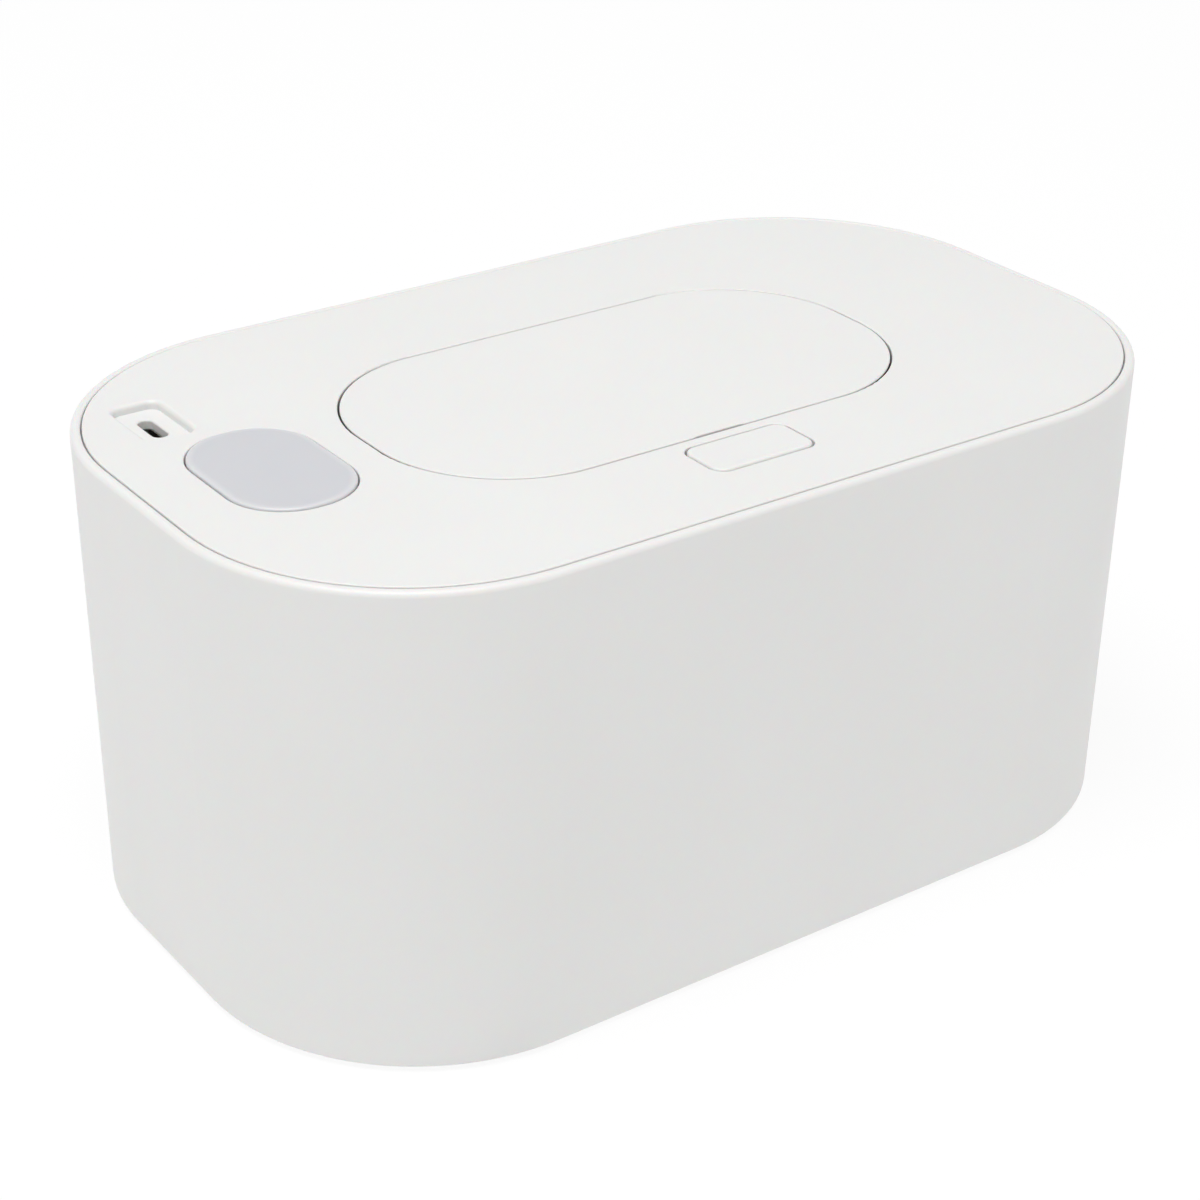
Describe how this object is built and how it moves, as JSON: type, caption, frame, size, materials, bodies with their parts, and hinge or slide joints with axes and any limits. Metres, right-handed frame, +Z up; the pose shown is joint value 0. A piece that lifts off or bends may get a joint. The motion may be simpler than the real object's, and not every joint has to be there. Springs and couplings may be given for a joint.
{
  "type": "baby wipe warmer",
  "caption": "Rounded box that keeps moist wipes warm: open case, lift-off heated cover with a flip lid, release button and display key.",
  "frame": {"origin": "on the surface that the warmer stands on, under the middle of the case", "axes": "+X along the case, away from the charging socket; -Y to the front, where the lid opens; +Z up"},
  "size_m": [0.21, 0.1274, 0.0992],
  "materials": {
    "white_abs": "injection-moulded ABS, very fine spark texture",
    "inner_pp": "injection-moulded polypropylene, satin",
    "latch_pom": "acetal, smooth as moulded",
    "tpe_feet": "thermoplastic rubber, matt",
    "silicone": "translucent silicone, smooth",
    "frosted_pc": "frosted polycarbonate, fine satin face",
    "aluminium": "pressed aluminium sheet, satin",
    "heater_film": "polyimide film",
    "pe_foam": "closed-cell polyethylene foam",
    "circuit_board": "glass-epoxy board with solder mask",
    "screw_steel": "zinc-plated steel",
    "spring_steel": "stainless wire and pin stock, drawn",
    "socket_steel": "nickel-plated stainless sheet",
    "black_resin": "black moulding resin",
    "switch_cap": "dark nylon",
    "display_housing": "white display housing with a milky face",
    "capacitor_can": "aluminium can",
    "plug_nylon": "natural nylon",
    "fuse_case": "ceramic body, glazed",
    "lead_pvc": "silicone-sheathed wire"
  },
  "bodies": {
    "case": {"outer_case": "white_abs", "rubber_feet": "tpe_feet"},
    "cover": {"top_cover": "white_abs", "cover_gasket": "silicone", "inner_cover": "inner_pp", "cover_screws": "screw_steel", "heater_tray": "aluminium", "heating_film": "heater_film", "insulation_foam": "pe_foam", "heater_screws": "screw_steel", "thermistor": "black_resin", "thermal_fuse": "fuse_case", "heater_leads": "lead_pvc", "control_board": "circuit_board", "board_screws": "screw_steel", "control_chip": "black_resin", "capacitors": "capacitor_can", "power_coil": "black_resin", "board_plugs": "plug_nylon", "socket_shell": "socket_steel", "socket_tongue": "black_resin", "led_display": "display_housing", "tact_switches": "black_resin", "hinge_pins": "spring_steel", "lid_springs": "spring_steel", "latch_carrier": "inner_pp", "latch_screws": "screw_steel", "latch_spring": "spring_steel"},
    "flip_lid": {"lid_shell": "white_abs", "lid_liner": "inner_pp", "lid_seal": "silicone"},
    "release_button": {"latch_button": "white_abs"},
    "latch": {"latch_slider": "latch_pom"},
    "display_key": {"key_lens": "frosted_pc", "key_carrier": "inner_pp", "switch_plungers": "switch_cap"}
  },
  "joints": [
    {"name": "cover_lift", "type": "slide", "parent": "case", "child": "cover", "axis": [0, 0, 1], "range_m": [0, 0.06]},
    {"name": "lid_hinge", "type": "hinge", "parent": "cover", "child": "flip_lid", "pos_m": [-0.0006, 0.0359, 0.09395], "axis": [-1, 0, 0], "range_deg": [0, 95], "deforming": ["lid_springs"]},
    {"name": "button_press", "type": "slide", "parent": "cover", "child": "release_button", "axis": [0, 0, -1], "range_m": [0, 0.002], "stiffness_N_per_m": 500, "springref_m": -0.0006},
    {"name": "latch_slide", "type": "slide", "parent": "cover", "child": "latch", "axis": [0, -1, 0], "range_m": [0, 0.0016], "deforming": ["latch_spring"]},
    {"name": "key_press", "type": "slide", "parent": "cover", "child": "display_key", "axis": [0, 0, -1], "range_m": [0, 0.0005], "stiffness_N_per_m": 1500, "springref_m": -0.0003}
  ],
  "couplings": [
    {"joint": "latch_slide", "follows": "button_press", "ratio": 0.8}
  ]
}
